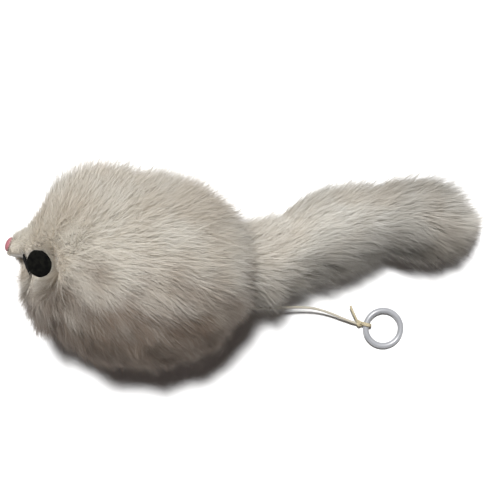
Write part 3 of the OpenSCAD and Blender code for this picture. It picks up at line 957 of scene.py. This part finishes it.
def trimmed_by_eyes(roots, flow):
    """A hair's share of its length, short where it runs towards an eye, and how much it is by one."""
    share, by_eye = np.ones(len(roots)), np.zeros(len(roots))
    for node, (reach, _) in EYE_HOLLOW.items():
        middle, facing = round_part(node)
        offset = middle - roots
        rise = offset @ facing
        aside = np.linalg.norm(offset - rise[:, None] * facing, axis=1)
        close = np.abs(rise) < EYE_DEPTH
        towards = dot(flow, offset)[:, 0] > 0
        cut = 0.3 + 0.7 * fade(aside, EYE_R, EYE_R + 8)
        share = np.where(towards & close, np.minimum(share, cut), share)
        by_eye = np.maximum(by_eye, close * (1 - fade(aside, reach - 7, reach + 2)))
    return share, by_eye


def make_body_fur(hide):
    """Long soft fur, short on the muzzle, in five pieces that meet edge to edge."""
    def thickness(p):
        face = np.linalg.norm(p - NOSE_TIP, axis=1) < FACE_FUR[0]
        return np.where(p[:, 2] < FLAT_FUR[0], FLAT_FUR[1], np.where(face, FACE_FUR[1], 1.0))

    roots, normals = scatter_roots(hide, BODY_HAIRS, thickness)
    flow = body_flow(roots, normals)
    from_nose = np.linalg.norm(roots - NOSE_TIP, axis=1)
    grown = fade(from_nose, 6, 44)
    near = fade(-roots[:, 1], -10, 25)
    far = fade(roots[:, 1], 14, 40)
    length = (MUZZLE_HAIR + grown * BODY_HAIR_GAIN) * rng.uniform(0.5, 1.25, len(roots))
    share, by_eye = trimmed_by_eyes(roots, flow)
    length *= share
    lift = 0.3 + 0.6 * grown + 0.5 * by_eye
    end_lift = 0.1 + grown * (0.2 + 0.25 * far) + 0.6 * by_eye
    clumping = 0.04 + 0.5 * near * grown
    droop = 0.1 + 0.35 * near
    paths = comb(roots, normals, flow, length, lift, end_lift, clumping, droop, scatter=0.28,
                 clump_hairs=60)
    keep = np.all([clear_of(paths, node, radius) for node, radius in EYE_CLEAR_R.items()], axis=0)
    keep &= ((paths - NOSE_TIP) @ HEADING < -NOSE_CLEAR).all(axis=1)
    lock, wisp = sway(roots, 8, 3)[:, 0], sway(roots, 2, 11)[:, 0]
    # Painted shade: hairs on the near side, away from the light, are painted darker, with a wavy edge;
    # wisp adds random tone, more of it there.
    painted_light_and_tone = 0.95 - 0.9 * fade(12 * lock - roots[:, 1], -8, 20) + (0.06 + 0.5 * near) * wisp
    muzzle = from_nose < MUZZLE_FUR
    top = (roots[:, 2] > BACK_FUR) & ~muzzle
    low = (roots[:, 2] < BELLY_FUR) & ~muzzle
    side = ~(muzzle | top | low)
    regions = {"muzzle_fur": muzzle, "back_fur": top, "belly_fur": low,
               "left_side_fur": side & (roots[:, 1] < 0), "right_side_fur": side & (roots[:, 1] >= 0)}
    for name, region in regions.items():
        chosen = keep & region
        fur = dress(name, paths[chosen], normals[chosen], "fur", painted_light_and_tone[chosen])
        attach(fur, "body")


def make_tail_fur(name, hide, count):
    """Straight fine fur that lies along the tail."""
    roots, _ = scatter_roots(hide, count)
    middle, _ = tail_places()
    along, _, _ = frames_along(middle)
    nearest = np.abs(roots[:, :1] - middle[None, :, 0]).argmin(axis=1)
    normals = unit(roots - middle[nearest])
    heading = along[nearest]
    flow = unit(heading - dot(heading, normals) * normals)
    tip = fade(roots[:, 0], 128, 146)
    neck = fade(roots[:, 0], 50, 57) * fade(-roots[:, 0], -66, -58)
    length = TAIL_HAIR - TAIL_TIP_CUT * tip - TAIL_NECK_CUT * neck
    length *= rng.uniform(0.5, 1.2, len(roots))
    lift = 0.6 + 0.3 * fade(roots[:, 0], 60, 67) * fade(-roots[:, 0], -78, -70)
    end_lift = 0.15 + 0.3 * rng.random(len(roots)) - 0.4 * tip
    clumping = np.full(len(roots), 0.12)
    paths = comb(roots, normals, flow, length, lift, end_lift, clumping, droop=0.1, scatter=0.2)
    # Painted shade: hairs facing away from the light, and those towards the tail's far end, are painted
    # darker.
    painted_light_and_tone = 0.95 - 0.4 * fade(-normals[:, 1], -0.1, 0.9) - 0.4 * fade(roots[:, 0], 60, 130)
    fur = dress(name, paths, normals, "tail_fur", painted_light_and_tone)
    return bend_at(fur)


# ---- the mouse ----

make_camera()
cord, cord_route = make_cord()
loose_end = make_loose_end()
knot = make_knot()
make_floor()
make_light()
finish_cad_nodes()
make_eye("right_eye_disc", "right_eye")
make_eye("left_eye_disc", "left_eye")

body_hide = make_body_hide()
make_body_fur(body_hide)
root_hide = make_tail_hide("tail_root_underfur", "tail_fur_root",
                           lambda x: x < TAIL_SPLIT + TAIL_LAP)
tip_hide = make_tail_hide("tail_tip_underfur", "tail_fur_tip",
                          lambda x: x > TAIL_SPLIT - TAIL_LAP)
make_tail_core()
make_tail_fur("tail_root_fur", root_hide, TAIL_ROOT_HAIRS)
make_tail_fur("tail_tip_fur", tip_hide, TAIL_TIP_HAIRS)
